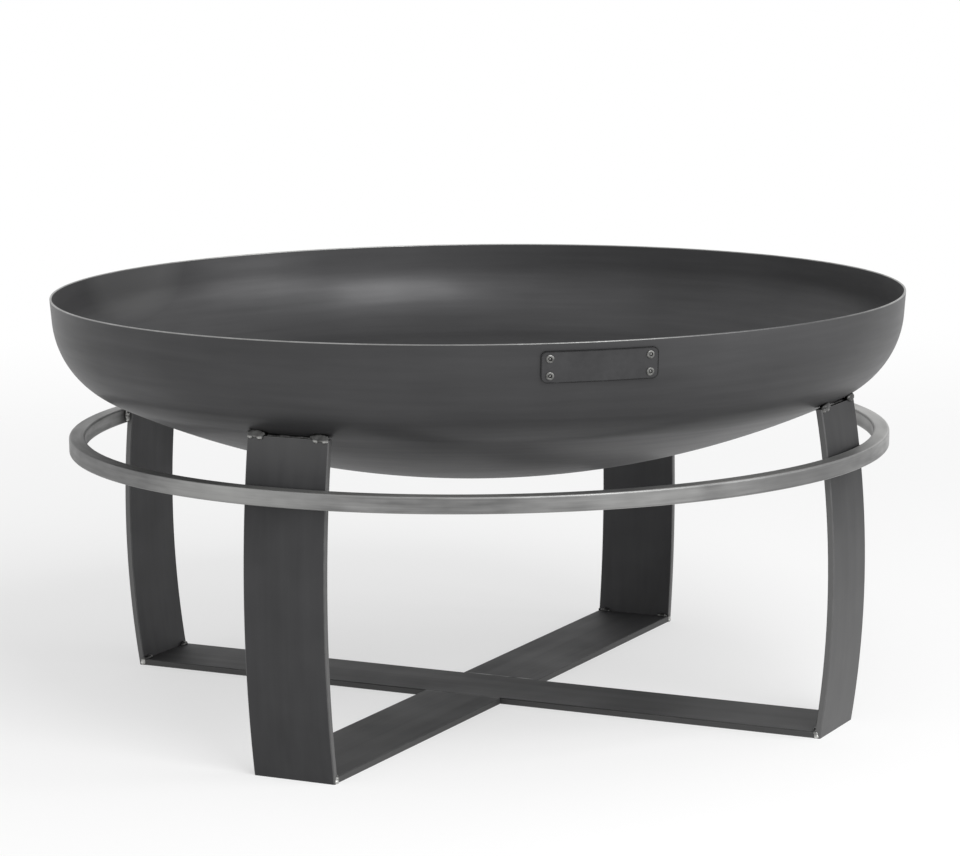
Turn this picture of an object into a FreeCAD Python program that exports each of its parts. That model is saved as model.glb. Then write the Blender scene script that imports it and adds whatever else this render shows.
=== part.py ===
"""Fire bowl: a pressed steel dish on four bowed legs, a floor cross and a carrying ring.

Frame: origin on the floor under the middle of the dish, +Z up, the badge side facing -Y.
The legs stand on the diagonals. Sizes are in millimetres, angles in degrees.
"""
import FreeCAD
import Part
import Sketcher
import math
import os

# Driving dimensions
SIZES = {
    # Dish: a leaning flange, a tight knuckle and a wide crown, trimmed level at the rim
    "bowl_diameter": 800,
    "bowl_sheet": 2,
    "flange_height": 22,
    "flange_lean": 4.5,
    "knuckle_radius": 83,
    "crown_radius": 820,
    # Flat bar of the legs and of the floor cross
    "flat_width": 80,
    "flat_thickness": 6,
    "flat_edge_bevel": 0.8,
    # Legs: bowed outwards, equally far in from the rim at foot and top
    "leg_height": 299.8,
    "leg_inset": 39,
    "leg_bow": 12.4,
    "seat_gap": 0.2,
    "foot_gap": 0.2,
    # Ring of square tube outside the legs, whose inner wall dips in from rolling
    "ring_height": 250.8,
    "ring_section": 15,
    "ring_wall": 1.5,
    "ring_corner": 2,
    "ring_dip": 0.7,
    "ring_gap": 0.2,
    # Badge plate, rolled to the flange
    "badge_azimuth": -93.45,
    "badge_drop": 6.8,
    "badge_width": 102,
    "badge_height": 27,
    "badge_thickness": 1.5,
    "badge_corner": 5,
    # Blind rivets, two columns of two
    "rivet_span": 87,
    "rivet_rise": 14.5,
    "rivet_shank": 4,
    "rivet_clearance": 0.1,
    "rivet_head": 7,
    "rivet_head_height": 1.2,
    "rivet_dome": 0.9,
    "rivet_bulb": 6,
    "rivet_bulb_length": 3,
    "rivet_bulb_round": 0.8,
    "mandrel_diameter": 2.2,
    "mandrel_recess": 0.4,
    "mandrel_head": 3.4,
    "mandrel_head_length": 1.4,
    "mandrel_clearance": 0.05,
    # Welds
    "bowl_tack_length": 18,
    "bowl_tack_size": 4,
    "foot_tack_length": 11,
    "foot_tack_size": 3,
    "foot_tack_inset": 1.5,
    "ring_tack_length": 12,
    "ring_tack_size": 3,
    "seam_bevel": 2,
}

# Seats: where pieces meet, worked out from the driving dimensions
SEATS = {
    "bowl_radius": "Sizes.bowl_diameter / 2",
    "knuckle_centre": (
        "Seats.bowl_radius - Sizes.flange_height * tan(Sizes.flange_lean)"
        " - Sizes.knuckle_radius * cos(Sizes.flange_lean)"
    ),
    "knuckle_drop": "Sizes.flange_height - Sizes.knuckle_radius * sin(Sizes.flange_lean)",
    "crown_offset": "Sizes.crown_radius - Sizes.knuckle_radius",
    "crown_rise": "sqrt(Seats.crown_offset ^ 2 - Seats.knuckle_centre ^ 2) - Seats.knuckle_drop",
    "crown_edge": "Seats.knuckle_centre * Sizes.crown_radius / Seats.crown_offset",
    "leg_end": "Seats.bowl_radius - Sizes.leg_inset",
    "leg_bend": "(Sizes.leg_height ^ 2 / 4 + Sizes.leg_bow ^ 2) / (2 * Sizes.leg_bow)",
    "leg_centre": "Seats.leg_end + Sizes.leg_bow - Seats.leg_bend",
    "leg_inner_bend": "Seats.leg_bend - Sizes.flat_thickness",
    "leg_inner_end": "Seats.leg_centre + sqrt(Seats.leg_inner_bend ^ 2 - Sizes.leg_height ^ 2 / 4)",
    "seat_drop": (
        "Seats.leg_inner_end > Seats.crown_edge"
        " ? Seats.knuckle_drop"
        " + sqrt(Sizes.knuckle_radius ^ 2 - (Seats.leg_inner_end - Seats.knuckle_centre) ^ 2)"
        " : sqrt(Sizes.crown_radius ^ 2 - Seats.leg_inner_end ^ 2) - Seats.crown_rise"
    ),
    "rim_height": "Sizes.leg_height + Sizes.seat_gap + Seats.seat_drop",
    "ring_contact": "Sizes.ring_height - Sizes.ring_section / 2 + Sizes.ring_corner",
    "leg_at_ring": (
        "Seats.leg_centre"
        " + sqrt(Seats.leg_bend ^ 2 - (Seats.ring_contact - Sizes.leg_height / 2) ^ 2)"
    ),
    "ring_inner": (
        "sqrt(Seats.leg_at_ring ^ 2 + (Sizes.flat_width / 2 - Sizes.flat_edge_bevel) ^ 2)"
        " + Sizes.ring_gap"
    ),
    "bar_reach": "Seats.leg_inner_end - Sizes.foot_gap",
    "rivet_hole": "Sizes.rivet_shank + 2 * Sizes.rivet_clearance",
    "rivet_row": "Sizes.badge_drop + (Sizes.badge_height - Sizes.rivet_rise) / 2",
    "rivet_reach": "Seats.rivet_row + Sizes.rivet_rise + Sizes.rivet_bulb / 2",
    "knuckle_reach": "max(0; Seats.rivet_reach - Sizes.flange_height)",
    "wall_sag": "Sizes.knuckle_radius - sqrt(Sizes.knuckle_radius ^ 2 - Seats.knuckle_reach ^ 2)",
    "rivet_grip": (
        "Sizes.badge_thickness + Sizes.bowl_sheet + Seats.wall_sag + Sizes.rivet_clearance"
    ),
}

# Legs, spread evenly round the dish
LEGS = ("front_left", "front_right", "back_right", "back_left")
FIRST_LEG_AZIMUTH = -135
LEG_AZIMUTHS = {
    name: FIRST_LEG_AZIMUTH + 360 / len(LEGS) * place for place, name in enumerate(LEGS)
}
LONG_BAR_AZIMUTH = LEG_AZIMUTHS["front_right"]
SHORT_BAR_AZIMUTHS = {"front": LEG_AZIMUTHS["front_left"], "back": LEG_AZIMUTHS["back_right"]}

UP = FreeCAD.Vector(0, 0, 1)
ACROSS = FreeCAD.Vector(0, 1, 0)
AXIS_UP, AXIS_ACROSS = range(-2, 0)
START, END, CENTRE = range(1, 4)
ORIGIN = (AXIS_ACROSS, START)

doc = FreeCAD.newDocument("fire_bowl")
sub_parts = []


def add_sheet():
    """Write the driving dimensions to the sheet, one alias per row."""
    sheet = doc.addObject("Spreadsheet::Sheet", "Sizes")
    for row, (name, value) in enumerate(SIZES.items(), start=1):
        sheet.set(f"A{row}", name)
        sheet.set(f"B{row}", str(value))
        sheet.setAlias(f"B{row}", name)
    doc.recompute()
    return sheet


def add_seats():
    """Hold the seats as properties bound to the sheet."""
    seats = doc.addObject("App::VarSet", "Seats")
    for name in SEATS:
        seats.addProperty("App::PropertyFloat", name, "Seats", "")
    for name, formula in SEATS.items():
        seats.setExpression(name, formula)
    doc.recompute()
    return seats


sizes = add_sheet()
seats = add_seats()


def value(formula):
    """The number that a formula of sizes and seats gives."""
    return float(sizes.evalExpression(str(formula)))


def bind(item, **formulas):
    """Bind properties of a document object to formulas."""
    for name, formula in formulas.items():
        item.setExpression(name, str(formula))


def turned(azimuth, height=0):
    """A placement turned about the upright axis and lifted."""
    return FreeCAD.Placement(FreeCAD.Vector(0, 0, height), FreeCAD.Rotation(UP, azimuth))


def on_wall(azimuth, drop, lift=0):
    """A place on the flange, in the dish's frame, with its +Z pointing out of the wall."""
    lean = sizes.flange_lean
    wall = FreeCAD.Vector(seats.bowl_radius - drop * math.tan(math.radians(lean)), 0, -drop)
    facing = FreeCAD.Rotation(ACROSS, 90 + lean)
    outward = facing.multVec(UP)
    return turned(azimuth).multiply(FreeCAD.Placement(wall + outward * lift, facing))


def add_body(label, node=True):
    """A body, which is a node of its own unless a group collects it."""
    body = doc.addObject("PartDesign::Body", label)
    body.Label = label
    if node:
        sub_parts.append(body)
    return body


def add_group(label, members):
    """A node that holds several separate solids."""
    group = doc.addObject("Part::Compound", label)
    group.Label = label
    group.Links = members
    sub_parts.append(group)
    return group


def add_sketch(body, name, role):
    """A sketch on one of the body's own origin planes."""
    sketch = body.newObject("Sketcher::SketchObject", name)
    plane = next(item for item in body.Origin.OriginFeatures if item.Role == role)
    sketch.AttachmentSupport = [(plane, "")]
    sketch.MapMode = "FlatFace"
    return sketch


def dimension(sketch, name, formula, kind, *where):
    """A named dimension of a sketch, bound to a formula."""
    index = sketch.addConstraint(Sketcher.Constraint(kind, *where, value(formula)))
    sketch.renameConstraint(index, name)
    sketch.setExpression(f"Constraints.{name}", formula)


def relate(sketch, *relations):
    """Geometric constraints of a sketch, each given as its arguments."""
    for relation in relations:
        sketch.addConstraint(Sketcher.Constraint(*relation))


def draw_polygon(sketch, corners):
    """A closed outline through corners, each given as two formulas."""
    points = [FreeCAD.Vector(value(x), value(y), 0) for x, y in corners]
    first = sketch.GeometryCount
    last = first + len(corners) - 1
    for start, end in zip(points, points[1:] + points[:1]):
        sketch.addGeometry(Part.LineSegment(start, end))
    for index, (x, y) in enumerate(corners, start=first):
        before = last if index == first else index - 1
        relate(sketch, ("Coincident", before, END, index, START))
        dimension(sketch, f"across_{index}", x, "DistanceX", *ORIGIN, index, START)
        dimension(sketch, f"along_{index}", y, "DistanceY", *ORIGIN, index, START)


def add_pad(body, sketch, length):
    """A symmetric extrusion of a sketch."""
    pad = body.newObject("PartDesign::Pad", "Pad")
    pad.Profile = sketch
    pad.SideType = "Symmetric"
    bind(pad, Length=length)
    return pad


def add_revolution(body, sketch, angle=360):
    """A revolution of a sketch about the upright axis, even to both sides of its plane."""
    revolution = body.newObject("PartDesign::Revolution", "Revolution")
    revolution.Profile = sketch
    revolution.ReferenceAxis = (sketch, ["V_Axis"])
    revolution.Midplane = True
    bind(revolution, Angle=angle)
    return revolution


def dress_edges(body, kind, size_name, formula, wanted):
    """A fillet or chamfer on those edges of the body's last feature that are wanted."""
    doc.recompute()
    base = body.Tip
    names = [f"Edge{index}" for index, edge in enumerate(base.Shape.Edges, start=1) if wanted(edge)]
    if not names:
        raise RuntimeError(f"{body.Label}: no edge to dress")
    dressing = body.newObject(f"PartDesign::{kind}", kind)
    dressing.Base = (base, names)
    bind(dressing, **{size_name: formula})
    return dressing


def add_cylinder(body, kind, radius, height, placement=FreeCAD.Placement()):
    """A cylinder added to a body or cut from it."""
    cylinder = body.newObject(f"PartDesign::{kind}Cylinder", f"{kind}Cylinder")
    bind(cylinder, Radius=radius, Height=height)
    cylinder.Placement = placement
    return cylinder


def rivet_places(middle=0):
    """Azimuth and drop of each rivet, in two columns of two rows."""
    half_turn = math.degrees(math.asin(sizes.rivet_span / 2 / seats.bowl_radius))
    rows = (seats.rivet_row, seats.rivet_row + sizes.rivet_rise)
    return [(middle + side * half_turn, row) for side in (-1, 1) for row in rows]


def drill_for_rivets(body, azimuth):
    """Rivet holes square to the flange, through sheet and plate."""
    for hole_azimuth, drop in rivet_places(azimuth):
        depth = "4 * Seats.rivet_grip"
        start = on_wall(hole_azimuth, drop, lift=-2 * seats.rivet_grip)
        add_cylinder(body, "Subtractive", "Seats.rivet_hole / 2", depth, start)


def make_bowl():
    """The dish, revolved from its wall section and drilled for the badge, rim plane at zero."""
    body = add_body("bowl")
    sketch = add_sketch(body, "WallSection", "XZ_Plane")
    lean = math.radians(sizes.flange_lean)
    sheet = sizes.bowl_sheet
    knuckle = FreeCAD.Vector(seats.knuckle_centre, -seats.knuckle_drop, 0)
    crown = FreeCAD.Vector(0, seats.crown_rise, 0)
    turn = math.atan2(knuckle.y - crown.y, knuckle.x)

    def arc(centre, radius, start, end):
        return Part.ArcOfCircle(Part.Circle(centre, UP, radius), start, end)

    def flange_end(inset):
        radius = sizes.knuckle_radius - inset
        return knuckle + FreeCAD.Vector(radius * math.cos(lean), -radius * math.sin(lean), 0)

    rim_outer = FreeCAD.Vector(seats.bowl_radius, 0, 0)
    rim_inner = FreeCAD.Vector(seats.bowl_radius - sheet / math.cos(lean), 0, 0)
    inner_bottom = FreeCAD.Vector(0, crown.y - sizes.crown_radius + sheet, 0)
    outer_bottom = FreeCAD.Vector(0, crown.y - sizes.crown_radius, 0)
    outline = [
        arc(crown, sizes.crown_radius, -math.pi / 2, turn),
        arc(knuckle, sizes.knuckle_radius, turn, -lean),
        Part.LineSegment(flange_end(0), rim_outer),
        Part.LineSegment(rim_outer, rim_inner),
        Part.LineSegment(rim_inner, flange_end(sheet)),
        arc(knuckle, sizes.knuckle_radius - sheet, turn, -lean),
        arc(crown, sizes.crown_radius - sheet, -math.pi / 2, turn),
        Part.LineSegment(inner_bottom, outer_bottom),
    ]
    sketch.addGeometry(outline)
    crown_out, knuckle_out, flange_out, rim, flange_in, knuckle_in, crown_in, middle = range(8)
    relate(
        sketch,
        ("Tangent", crown_out, END, knuckle_out, START),
        ("Tangent", knuckle_out, END, flange_out, START),
        ("Coincident", flange_out, END, rim, START),
        ("Coincident", rim, END, flange_in, START),
        ("Tangent", flange_in, END, knuckle_in, END),
        ("Tangent", knuckle_in, START, crown_in, END),
        ("Coincident", crown_in, START, middle, START),
        ("Coincident", middle, END, crown_out, START),
        ("Coincident", knuckle_in, CENTRE, knuckle_out, CENTRE),
        ("Coincident", crown_in, CENTRE, crown_out, CENTRE),
        ("PointOnObject", crown_out, CENTRE, AXIS_UP),
        ("PointOnObject", crown_out, START, AXIS_UP),
        ("PointOnObject", crown_in, START, AXIS_UP),
        ("PointOnObject", flange_out, END, AXIS_ACROSS),
        ("Horizontal", rim),
        ("Parallel", flange_out, flange_in),
    )
    dimension(sketch, "rim_radius", "Seats.bowl_radius", "DistanceX", *ORIGIN, flange_out, END)
    dimension(sketch, "flange", "Sizes.flange_height", "DistanceY", flange_out, START, flange_out, END)
    run = "Sizes.flange_height * tan(Sizes.flange_lean)"
    dimension(sketch, "flange_run", run, "DistanceX", flange_out, START, flange_out, END)
    dimension(sketch, "crown", "Sizes.crown_radius", "Radius", crown_out)
    dimension(sketch, "knuckle", "Sizes.knuckle_radius", "Radius", knuckle_out)
    inner_knuckle = "Sizes.knuckle_radius - Sizes.bowl_sheet"
    dimension(sketch, "knuckle_inside", inner_knuckle, "Radius", knuckle_in)
    add_revolution(body, sketch)
    drill_for_rivets(body, sizes.badge_azimuth)
    body.Placement = turned(0, seats.rim_height)
    return body


def make_leg(name, azimuth):
    """A leg: flat bar bowed outwards, cut level at foot and top."""
    body = add_body(f"leg_{name}")
    sketch = add_sketch(body, "SideView", "XZ_Plane")
    middle = FreeCAD.Vector(seats.leg_centre, sizes.leg_height / 2, 0)
    foot_outer = FreeCAD.Vector(seats.leg_end, 0, 0)
    foot_inner = FreeCAD.Vector(seats.leg_inner_end, 0, 0)
    top_outer = FreeCAD.Vector(seats.leg_end, sizes.leg_height, 0)
    top_inner = FreeCAD.Vector(seats.leg_inner_end, sizes.leg_height, 0)

    def face(radius):
        spread = math.asin(sizes.leg_height / 2 / radius)
        return Part.ArcOfCircle(Part.Circle(middle, UP, radius), -spread, spread)

    outline = [
        face(seats.leg_bend),
        Part.LineSegment(top_outer, top_inner),
        face(seats.leg_inner_bend),
        Part.LineSegment(foot_inner, foot_outer),
    ]
    sketch.addGeometry(outline)
    outer, top, inner, foot = range(4)
    relate(
        sketch,
        ("Coincident", outer, END, top, START),
        ("Coincident", top, END, inner, END),
        ("Coincident", inner, START, foot, START),
        ("Coincident", foot, END, outer, START),
        ("Coincident", inner, CENTRE, outer, CENTRE),
        ("Horizontal", top),
        ("Horizontal", foot),
        ("PointOnObject", outer, START, AXIS_ACROSS),
        ("Vertical", outer, START, outer, END),
    )
    dimension(sketch, "end_radius", "Seats.leg_end", "DistanceX", *ORIGIN, outer, START)
    dimension(sketch, "height", "Sizes.leg_height", "DistanceY", outer, START, outer, END)
    dimension(sketch, "bend", "Seats.leg_bend", "Radius", outer)
    dimension(sketch, "inner_bend", "Seats.leg_inner_bend", "Radius", inner)
    add_pad(body, sketch, "Sizes.flat_width")

    def runs_along(edge):
        return edge.Curve.TypeId == "Part::GeomCircle"

    dress_edges(body, "Chamfer", "Size", "Sizes.flat_edge_bevel", runs_along)
    body.Placement = turned(azimuth)
    return body


def make_bar(label, azimuth, side_view):
    """A bar of the floor cross, extruded from its side view."""
    body = add_body(label)
    sketch = add_sketch(body, "SideView", "XZ_Plane")
    draw_polygon(sketch, side_view)
    add_pad(body, sketch, "Sizes.flat_width")

    def runs_along(edge):
        start, end = (vertex.Point for vertex in edge.Vertexes)
        return math.isclose(abs(end.x - start.x), edge.Length)

    dress_edges(body, "Chamfer", "Size", "Sizes.flat_edge_bevel", runs_along)
    body.Placement = turned(azimuth)
    return body


def make_long_bar():
    """The bar of the cross that runs from leg to leg."""
    side_view = [
        ("-Seats.bar_reach", "0"),
        ("Seats.bar_reach", "0"),
        ("Seats.bar_reach", "Sizes.flat_thickness"),
        ("-Seats.bar_reach", "Sizes.flat_thickness"),
    ]
    return make_bar("base_bar_long", LONG_BAR_AZIMUTH, side_view)


def make_short_bar(name, azimuth):
    """A bar from the long bar's edge to a leg, bevelled on top where the seam weld goes."""
    side_view = [
        ("Sizes.flat_width / 2", "0"),
        ("Seats.bar_reach", "0"),
        ("Seats.bar_reach", "Sizes.flat_thickness"),
        ("Sizes.flat_width / 2 + Sizes.seam_bevel", "Sizes.flat_thickness"),
        ("Sizes.flat_width / 2", "Sizes.flat_thickness - Sizes.seam_bevel"),
    ]
    return make_bar(f"base_bar_{name}", azimuth, side_view)


def make_seam(azimuth):
    """A seam weld that fills the bevel between a short bar and the long one, flush on top."""
    body = add_body("Seam", node=False)
    sketch = add_sketch(body, "Section", "XZ_Plane")
    draw_polygon(
        sketch,
        [
            ("Sizes.flat_width / 2", "Sizes.flat_thickness - Sizes.seam_bevel"),
            ("Sizes.flat_width / 2 + Sizes.seam_bevel", "Sizes.flat_thickness"),
            ("Sizes.flat_width / 2", "Sizes.flat_thickness"),
        ],
    )
    add_pad(body, sketch, "Sizes.flat_width - 2 * Sizes.flat_edge_bevel")
    body.Placement = turned(azimuth)
    return body


def draw_tube_wall(sketch, inset):
    """One loop of the ring's square section, with its inner side dipping into the tube."""
    inner = f"Seats.ring_inner + {inset}"
    side = f"Sizes.ring_section - 2 * {inset}"
    bend = f"(({side}) ^ 2 / 4 + Sizes.ring_dip ^ 2) / (2 * Sizes.ring_dip)"
    near = value(inner)
    far = near + value(side)
    half = value(side) / 2
    radius = value(bend)
    spread = math.asin(half / radius)
    dip_centre = FreeCAD.Vector(near + sizes.ring_dip - radius, 0, 0)
    first = sketch.GeometryCount
    bottom, outer, top, dip = range(first, first + 4)
    outline = [
        Part.LineSegment(FreeCAD.Vector(near, -half, 0), FreeCAD.Vector(far, -half, 0)),
        Part.LineSegment(FreeCAD.Vector(far, -half, 0), FreeCAD.Vector(far, half, 0)),
        Part.LineSegment(FreeCAD.Vector(far, half, 0), FreeCAD.Vector(near, half, 0)),
        Part.ArcOfCircle(Part.Circle(dip_centre, UP, radius), -spread, spread),
    ]
    sketch.addGeometry(outline)
    relate(
        sketch,
        ("Coincident", bottom, END, outer, START),
        ("Coincident", outer, END, top, START),
        ("Coincident", top, END, dip, END),
        ("Coincident", dip, START, bottom, START),
        ("Horizontal", bottom),
        ("Horizontal", top),
        ("Symmetric", outer, START, outer, END, AXIS_ACROSS),
        ("Vertical", dip, START, dip, END),
    )
    dimension(sketch, f"inner_{first}", inner, "DistanceX", *ORIGIN, dip, START)
    dimension(sketch, f"width_{first}", side, "DistanceX", bottom, START, bottom, END)
    dimension(sketch, f"height_{first}", side, "DistanceY", outer, START, outer, END)
    dimension(sketch, f"dip_{first}", bend, "Radius", dip)


def make_ring():
    """The ring: square tube rolled round the legs, with rounded corners."""
    body = add_body("ring")
    sketch = add_sketch(body, "TubeSection", "XZ_Plane")
    draw_tube_wall(sketch, "0")
    draw_tube_wall(sketch, "Sizes.ring_wall")
    add_revolution(body, sketch)
    half = sizes.ring_section / 2

    def is_corner(edge):
        return edge.Curve.TypeId == "Part::GeomCircle" and math.isclose(abs(edge.CenterOfMass.z), half)

    dress_edges(body, "Fillet", "Radius", "Sizes.ring_corner", is_corner)
    body.Placement = turned(0, sizes.ring_height)
    return body


def make_badge():
    """The badge plate: a strip rolled to the flange, with round corners and rivet holes."""
    body = add_body("badge_plate")
    sketch = add_sketch(body, "Section", "XZ_Plane")
    bottom = "Sizes.badge_drop + Sizes.badge_height * cos(Sizes.flange_lean)"
    thickness_out = "Sizes.badge_thickness * cos(Sizes.flange_lean)"
    thickness_down = "Sizes.badge_thickness * sin(Sizes.flange_lean)"
    wall_at_top = "Seats.bowl_radius - Sizes.badge_drop * tan(Sizes.flange_lean)"
    wall_at_bottom = f"Seats.bowl_radius - ({bottom}) * tan(Sizes.flange_lean)"
    draw_polygon(
        sketch,
        [
            (wall_at_bottom, f"-({bottom})"),
            (f"{wall_at_bottom} + {thickness_out}", f"-({bottom}) - {thickness_down}"),
            (f"{wall_at_top} + {thickness_out}", f"-Sizes.badge_drop - {thickness_down}"),
            (wall_at_top, "-Sizes.badge_drop"),
        ],
    )
    add_revolution(body, sketch, "2 * asin(Sizes.badge_width / 2 / Seats.bowl_radius)")
    thickness = sizes.badge_thickness
    dress_edges(
        body,
        "Fillet",
        "Radius",
        "Sizes.badge_corner",
        lambda edge: math.isclose(edge.Length, thickness, rel_tol=1e-6),
    )
    drill_for_rivets(body, 0)
    body.Placement = turned(sizes.badge_azimuth, seats.rim_height)
    return body


def make_rivet_sleeve(place):
    """A set rivet sleeve: domed head outside, bulb drawn up inside, bore for the mandrel."""
    body = add_body("RivetSleeve", node=False)
    below_head = FreeCAD.Placement(FreeCAD.Vector(0, 0, -seats.rivet_grip), FreeCAD.Rotation())
    bulb_end = FreeCAD.Placement(
        FreeCAD.Vector(0, 0, -seats.rivet_grip - sizes.rivet_bulb_length), FreeCAD.Rotation()
    )
    add_cylinder(body, "Additive", "Sizes.rivet_head / 2", "Sizes.rivet_head_height")
    add_cylinder(body, "Additive", "Sizes.rivet_shank / 2", "Seats.rivet_grip", below_head)
    add_cylinder(body, "Additive", "Sizes.rivet_bulb / 2", "Sizes.rivet_bulb_length", bulb_end)
    head_top = sizes.rivet_head_height
    dress_edges(
        body,
        "Fillet",
        "Radius",
        "Sizes.rivet_dome",
        lambda edge: edge.Closed and math.isclose(edge.CenterOfMass.z, head_top),
    )
    bulb_radius = sizes.rivet_bulb / 2
    dress_edges(
        body,
        "Fillet",
        "Radius",
        "Sizes.rivet_bulb_round",
        lambda edge: edge.Closed
        and edge.CenterOfMass.z < 0
        and math.isclose(edge.Length, 2 * math.pi * bulb_radius),
    )
    length = "Sizes.rivet_head_height + Seats.rivet_grip + Sizes.rivet_bulb_length"
    radius = "Sizes.mandrel_diameter / 2 + Sizes.mandrel_clearance"
    add_cylinder(body, "Subtractive", radius, length, bulb_end)
    body.Placement = place
    return body


def make_mandrel(place):
    """A mandrel broken off below the rivet's head, its own head holding the bulb."""
    body = add_body("Mandrel", node=False)
    bulb_end = -seats.rivet_grip - sizes.rivet_bulb_length
    stem_start = FreeCAD.Placement(FreeCAD.Vector(0, 0, bulb_end), FreeCAD.Rotation())
    head_start = FreeCAD.Placement(
        FreeCAD.Vector(0, 0, bulb_end - sizes.mandrel_head_length), FreeCAD.Rotation()
    )
    stem = (
        "Sizes.rivet_head_height - Sizes.mandrel_recess"
        " + Seats.rivet_grip + Sizes.rivet_bulb_length"
    )
    add_cylinder(body, "Additive", "Sizes.mandrel_head / 2", "Sizes.mandrel_head_length", head_start)
    add_cylinder(body, "Additive", "Sizes.mandrel_diameter / 2", stem, stem_start)
    body.Placement = place
    return body


def make_tack(place, size, length, upright, neighbours):
    """A tack weld: a drop of metal that fills the corner between two pieces."""
    drop = doc.addObject("Part::Ellipsoid", "Drop")
    if upright:
        bind(drop, Radius1=f"{length} / 2", Radius2=size, Radius3=size)
    else:
        bind(drop, Radius1=size, Radius2=size, Radius3=f"{length} / 2")
    drop.Placement = place
    tack = drop
    for neighbour in neighbours:
        cut = doc.addObject("Part::Cut", "Tack")
        cut.Base = tack
        cut.Tool = neighbour
        tack = cut
    return tack


def tack_pairs(azimuth, radius, across, height):
    """Places at both sides of a leg, in the leg's own direction."""
    return [
        turned(azimuth).multiply(
            FreeCAD.Placement(FreeCAD.Vector(radius, side * across, height), FreeCAD.Rotation())
        )
        for side in (-1, 1)
    ]


def make_tacks(label, azimuth_neighbours, radius, across, height, size, length, upright=False):
    """The tack welds of one kind, two at each leg."""
    tacks = [
        make_tack(place, size, length, upright, neighbours)
        for azimuth, neighbours in azimuth_neighbours
        for place in tack_pairs(azimuth, radius, across, height)
    ]
    return add_group(label, tacks)


def export_parts():
    """Check every object and write each sub-part to its own file."""
    doc.recompute()
    for item in doc.Objects:
        if {"Invalid", "Error"} & set(item.State):
            raise RuntimeError(f"{item.Name} failed: {item.State}")
    for part in sub_parts:
        if part.Shape.isNull() or not part.Shape.isValid():
            raise RuntimeError(f"{part.Label} has no valid shape")
    os.makedirs("parts", exist_ok=True)
    for part in sub_parts:
        part.Shape.exportStep(f"parts/{part.Label}.step")
        print(f"{part.Label}: {len(part.Shape.Solids)} solids, {part.Shape.Volume:.1f} mm3")


bowl = make_bowl()
legs = {name: make_leg(name, azimuth) for name, azimuth in LEG_AZIMUTHS.items()}
long_bar = make_long_bar()
short_bars = {azimuth: make_short_bar(name, azimuth) for name, azimuth in SHORT_BAR_AZIMUTHS.items()}
ring = make_ring()
badge = make_badge()

plate_face = [
    bowl.Placement.multiply(on_wall(azimuth, drop, lift=sizes.badge_thickness))
    for azimuth, drop in rivet_places(sizes.badge_azimuth)
]
add_group("rivet_sleeves", [make_rivet_sleeve(place) for place in plate_face])
add_group("rivet_mandrels", [make_mandrel(place) for place in plate_face])

doc.recompute()
half_width = sizes.flat_width / 2
make_tacks(
    "bowl_tacks",
    [(azimuth, (legs[name], bowl)) for name, azimuth in LEG_AZIMUTHS.items()],
    seats.leg_end,
    half_width - sizes.bowl_tack_length / 2,
    sizes.leg_height + sizes.bowl_tack_size / 2,
    "Sizes.bowl_tack_size",
    "Sizes.bowl_tack_length",
)
make_tacks(
    "foot_tacks",
    [
        (azimuth, (legs[name], short_bars.get(azimuth, long_bar)))
        for name, azimuth in LEG_AZIMUTHS.items()
    ],
    seats.leg_inner_end,
    half_width - sizes.foot_tack_inset - sizes.foot_tack_length / 2,
    sizes.flat_thickness,
    "Sizes.foot_tack_size",
    "Sizes.foot_tack_length",
)
make_tacks(
    "ring_tacks",
    [(azimuth, (legs[name], ring)) for name, azimuth in LEG_AZIMUTHS.items()],
    seats.leg_at_ring - sizes.ring_tack_size / 2,
    half_width + sizes.ring_tack_size / 2,
    sizes.ring_height,
    "Sizes.ring_tack_size",
    "Sizes.ring_tack_length",
    upright=True,
)
add_group("cross_seams", [make_seam(azimuth) for azimuth in SHORT_BAR_AZIMUTHS.values()])

export_parts()
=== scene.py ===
"""Fire bowl: the looks of a pressed steel dish on a welded stand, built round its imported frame."""
import math

import bmesh
import bpy
from bpy.props import FloatProperty, FloatVectorProperty, IntProperty, PointerProperty
from bpy.types import Operator, Panel, PropertyGroup
from mathutils import Matrix, Vector, noise


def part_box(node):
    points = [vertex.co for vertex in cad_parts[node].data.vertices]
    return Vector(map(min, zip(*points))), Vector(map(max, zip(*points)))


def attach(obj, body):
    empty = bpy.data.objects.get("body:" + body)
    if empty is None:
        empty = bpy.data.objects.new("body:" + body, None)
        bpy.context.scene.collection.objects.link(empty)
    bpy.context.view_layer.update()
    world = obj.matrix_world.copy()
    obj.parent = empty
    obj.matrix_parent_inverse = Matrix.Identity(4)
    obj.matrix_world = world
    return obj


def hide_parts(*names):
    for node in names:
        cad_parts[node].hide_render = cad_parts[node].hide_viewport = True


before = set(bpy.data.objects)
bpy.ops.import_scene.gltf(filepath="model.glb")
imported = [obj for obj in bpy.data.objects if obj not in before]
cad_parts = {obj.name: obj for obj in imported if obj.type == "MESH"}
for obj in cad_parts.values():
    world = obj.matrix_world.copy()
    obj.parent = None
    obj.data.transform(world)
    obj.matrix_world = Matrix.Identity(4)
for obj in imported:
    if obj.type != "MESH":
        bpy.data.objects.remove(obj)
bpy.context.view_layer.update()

bl_info = {
    "name": "Fire bowl",
    "version": (1, 0, 0),
    "blender": (4, 5, 0),
    "location": "3D View > Sidebar > Fire bowl",
    "description": "Builds the looks of a welded steel fire bowl round its packed frame",
    "category": "Add Mesh",
}

MM = 0.001
BODY = "root"
LEG_AZIMUTHS = {
    "leg_front_left": -135,
    "leg_front_right": -45,
    "leg_back_right": 45,
    "leg_back_left": 135,
}
BAR_AZIMUTHS = {"base_bar_long": -45, "base_bar_front": -135, "base_bar_back": 45}
QUARTER_TURN = math.pi / 2
UP = (0, 0, 1)
DOWN = (0, 0, -1)
LEFT = (-1, 0, 0)
RIGHT = (1, 0, 0)
RING_FRONT_RIGHT = (0.5, -0.87, 0)

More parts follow.
